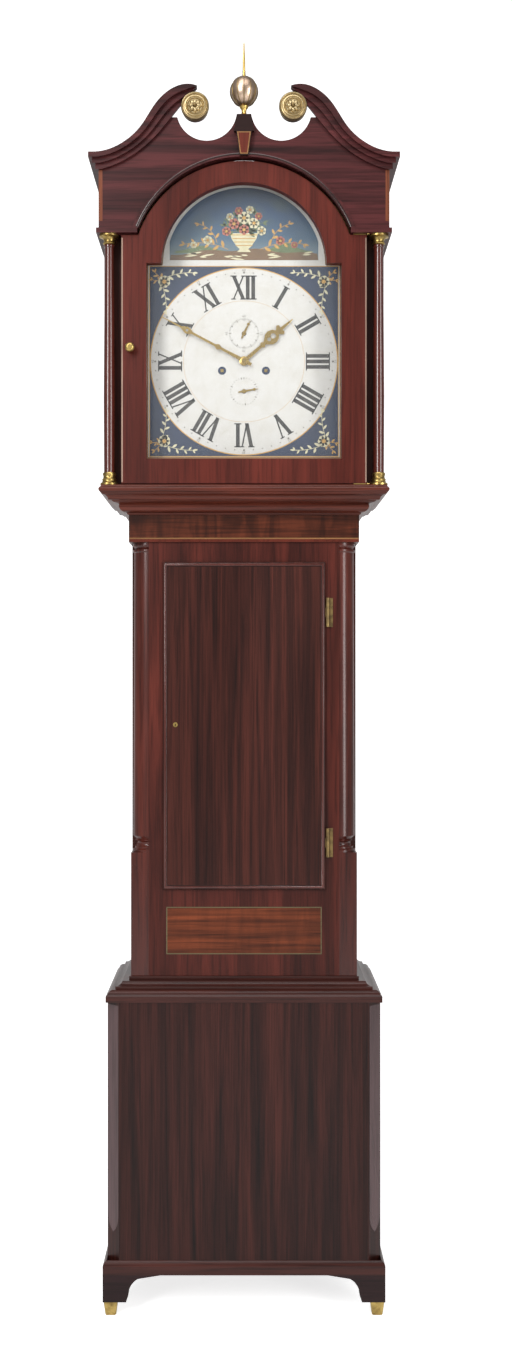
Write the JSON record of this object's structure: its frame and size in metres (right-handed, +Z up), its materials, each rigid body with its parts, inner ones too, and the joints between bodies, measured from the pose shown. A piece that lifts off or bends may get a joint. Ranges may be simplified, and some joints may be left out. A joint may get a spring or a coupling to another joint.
{
  "type": "longcase clock",
  "caption": "Tall eight-day longcase clock in oak and mahogany with a swan-neck hood, arched painted dial, trunk door and bracket feet; weight-driven movement inside.",
  "frame": {"origin": "centre of the bounding box on the floor", "axes": "+Z up, -Y towards the viewer at the front, +X to the right as seen from the front"},
  "size_m": [0.517, 0.252, 2.13],
  "materials": {
    "oak": "polished dark oak",
    "mahogany": "polished mahogany",
    "inlay": "polished light veneer",
    "brass": "polished",
    "steel": "bright",
    "iron": "blacked",
    "painted_dial": "hand painted, eggshell",
    "glass": "clear",
    "gut": "twisted gut"
  },
  "bodies": {
    "case": {"backboard": "oak", "plinth_boards": "oak", "plinth_mouldings": "mahogany", "bracket_feet": "mahogany", "foot_pads": "brass", "trunk_sides": "oak", "trunk_front_frame": "mahogany", "lower_panel": "inlay", "trunk_corner_columns": "mahogany", "trunk_frieze": "mahogany", "throat_moulding": "mahogany", "seatboard": "oak", "trunk_hinge_fixed_leaves": "brass", "dial_plate": "painted_dial", "movement_frame": "brass", "bell": "brass", "line_runs": "gut"},
    "trunk_door": {"trunk_door_panel": "oak", "trunk_hinge_door_leaves": "brass", "trunk_lock": "brass"},
    "lock_bolt": {"lock_bolt": "steel"},
    "hood": {"hood_base_frame": "mahogany", "hood_sides": "mahogany", "pediment_board": "mahogany", "hood_frieze_returns": "mahogany", "swan_necks": "mahogany", "rosettes": "brass", "keystone": "inlay", "finial": "brass", "hood_columns": "mahogany", "column_brasses": "brass", "dial_mask": "mahogany"},
    "hood_door": {"hood_door_frame": "mahogany", "hood_door_glass": "glass", "hood_door_pivots": "brass"},
    "door_knob": {"hood_door_knob": "brass"},
    "centre": {"centre_arbor": "brass", "minute_hand": "brass"},
    "third": {"third_arbor": "brass"},
    "escape": {"escape_arbor": "steel"},
    "pallets": {"pallets": "steel"},
    "pendulum": {"pendulum": "iron"},
    "minute_wheel": {"minute_wheel": "brass"},
    "hour": {"hour_wheel": "brass", "hour_hand": "brass"},
    "calendar": {"calendar_wheel": "brass"},
    "going_great_wheel": {"going_great_wheel": "brass"},
    "going_barrel": {"going_barrel": "brass"},
    "going_weight": {"going_weight": "iron", "going_line": "gut"},
    "going_pulley": {"going_pulley": "brass"},
    "strike_great_wheel": {"strike_great_wheel": "brass"},
    "strike_barrel": {"strike_barrel": "brass"},
    "strike_weight": {"strike_weight": "iron", "strike_line": "gut"},
    "strike_pulley": {"strike_pulley": "brass"},
    "pin_wheel": {"pin_wheel_arbor": "brass"},
    "gathering": {"gathering_arbor": "brass"},
    "fly": {"fly": "brass"},
    "hammer": {"hammer": "steel"}
  },
  "joints": [
    {"name": "hood_slide", "type": "slide", "parent": "case", "child": "hood", "axis": [0, -1, 0], "range_m": [0, 0.26]},
    {"name": "hood_door_hinge", "type": "hinge", "parent": "hood", "child": "hood_door", "pos_m": [0.207, -0.1065, 1.6], "axis": [0, 0, 1], "range_deg": [0, 100]},
    {"name": "door_knob_turn", "type": "hinge", "parent": "hood_door", "child": "door_knob", "pos_m": [-0.19, -0.094, 1.615], "axis": [0, 1, 0], "range_deg": [0, 90]},
    {"name": "trunk_door_hinge", "type": "hinge", "parent": "case", "child": "trunk_door", "pos_m": [0.142, -0.0687, 0.984], "axis": [0, 0, 1], "range_deg": [0, 105]},
    {"name": "lock_bolt_slide", "type": "slide", "parent": "trunk_door", "child": "lock_bolt", "axis": [-1, 0, 0], "range_m": [0, 0.008]},
    {"name": "minute_turn", "type": "hinge", "parent": "case", "child": "centre", "pos_m": [0, 0.0025, 1.605], "axis": [0, 1, 0], "continuous": true},
    {"name": "third_turn", "type": "hinge", "parent": "case", "child": "third", "pos_m": [0.00888, 0.0025, 1.63071], "axis": [0, 1, 0], "continuous": true},
    {"name": "escape_turn", "type": "hinge", "parent": "case", "child": "escape", "pos_m": [0, 0.0025, 1.6526], "axis": [0, 1, 0], "continuous": true},
    {"name": "minute_wheel_turn", "type": "hinge", "parent": "case", "child": "minute_wheel", "pos_m": [-0.01108, -0.034, 1.57455], "axis": [0, 1, 0], "continuous": true},
    {"name": "hour_turn", "type": "hinge", "parent": "case", "child": "hour", "pos_m": [0, -0.044, 1.605], "axis": [0, 1, 0], "continuous": true},
    {"name": "calendar_turn", "type": "hinge", "parent": "case", "child": "calendar", "pos_m": [0, -0.049, 1.554], "axis": [0, 1, 0], "continuous": true},
    {"name": "going_great_wheel_turn", "type": "hinge", "parent": "case", "child": "going_great_wheel", "pos_m": [0.0374, 0.025, 1.5892], "axis": [0, 1, 0], "continuous": true},
    {"name": "pendulum_swing", "type": "hinge", "parent": "case", "child": "pendulum", "pos_m": [0, 0.064, 1.6806], "axis": [0, 1, 0], "range_deg": [-3, 3]},
    {"name": "pallet_swing", "type": "hinge", "parent": "case", "child": "pallets", "pos_m": [0, 0.0025, 1.6806], "axis": [0, 1, 0], "range_deg": [-3, 3]},
    {"name": "going_weight_fall", "type": "slide", "parent": "case", "child": "going_weight", "axis": [0, 0, -1], "range_m": [0, 1.05], "deforming": ["going_line"]},
    {"name": "going_barrel_turn", "type": "hinge", "parent": "case", "child": "going_barrel", "pos_m": [0.0374, 0.0025, 1.5892], "axis": [0, 1, 0], "range_deg": [-4853, 0]},
    {"name": "going_pulley_turn", "type": "hinge", "parent": "going_weight", "child": "going_pulley", "pos_m": [0.0346, 0.0025, 1.38], "axis": [0, 1, 0], "range_deg": [-2736, 0]},
    {"name": "strike_weight_fall", "type": "slide", "parent": "case", "child": "strike_weight", "axis": [0, 0, -1], "range_m": [0, 1.05], "deforming": ["strike_line"]},
    {"name": "strike_barrel_turn", "type": "hinge", "parent": "case", "child": "strike_barrel", "pos_m": [-0.0374, 0.0025, 1.5892], "axis": [0, 1, 0], "range_deg": [-4853, 0]},
    {"name": "strike_pulley_turn", "type": "hinge", "parent": "strike_weight", "child": "strike_pulley", "pos_m": [-0.0842, 0.0025, 1.38], "axis": [0, 1, 0], "range_deg": [0, 2736]},
    {"name": "gathering_turn", "type": "hinge", "parent": "case", "child": "gathering", "pos_m": [-0.02999, 0.0025, 1.64413], "axis": [0, 1, 0], "continuous": true},
    {"name": "pin_wheel_turn", "type": "hinge", "parent": "case", "child": "pin_wheel", "pos_m": [-0.04375, 0.0025, 1.62519], "axis": [0, 1, 0], "continuous": true},
    {"name": "strike_great_wheel_turn", "type": "hinge", "parent": "case", "child": "strike_great_wheel", "pos_m": [-0.0374, 0.025, 1.5892], "axis": [0, 1, 0], "continuous": true},
    {"name": "fly_turn", "type": "hinge", "parent": "case", "child": "fly", "pos_m": [-0.03813, 0.0025, 1.65942], "axis": [0, 1, 0], "continuous": true},
    {"name": "hammer_lift", "type": "hinge", "parent": "case", "child": "hammer", "pos_m": [-0.052, 0.0025, 1.671], "axis": [0, -1, 0], "range_deg": [0, 12], "stiffness_Nm_per_rad": 0.05, "springref_deg": -11.46}
  ],
  "couplings": [
    {"joint": "third_turn", "follows": "minute_turn", "ratio": -7.5},
    {"joint": "escape_turn", "follows": "minute_turn", "ratio": 60},
    {"joint": "minute_wheel_turn", "follows": "minute_turn", "ratio": -1},
    {"joint": "hour_turn", "follows": "minute_turn", "ratio": 0.083333},
    {"joint": "calendar_turn", "follows": "minute_turn", "ratio": 0.0013441},
    {"joint": "going_great_wheel_turn", "follows": "minute_turn", "ratio": -0.083333},
    {"joint": "pallet_swing", "follows": "pendulum_swing", "ratio": 1},
    {"joint": "going_barrel_turn", "follows": "going_weight_fall", "rad_per_m": -80.645},
    {"joint": "going_pulley_turn", "follows": "going_weight_fall", "rad_per_m": -45.455},
    {"joint": "strike_barrel_turn", "follows": "strike_weight_fall", "rad_per_m": -80.645},
    {"joint": "strike_pulley_turn", "follows": "strike_weight_fall", "rad_per_m": 45.455},
    {"joint": "pin_wheel_turn", "follows": "gathering_turn", "ratio": -0.125},
    {"joint": "strike_great_wheel_turn", "follows": "gathering_turn", "ratio": 0.012821},
    {"joint": "fly_turn", "follows": "gathering_turn", "ratio": -8}
  ]
}
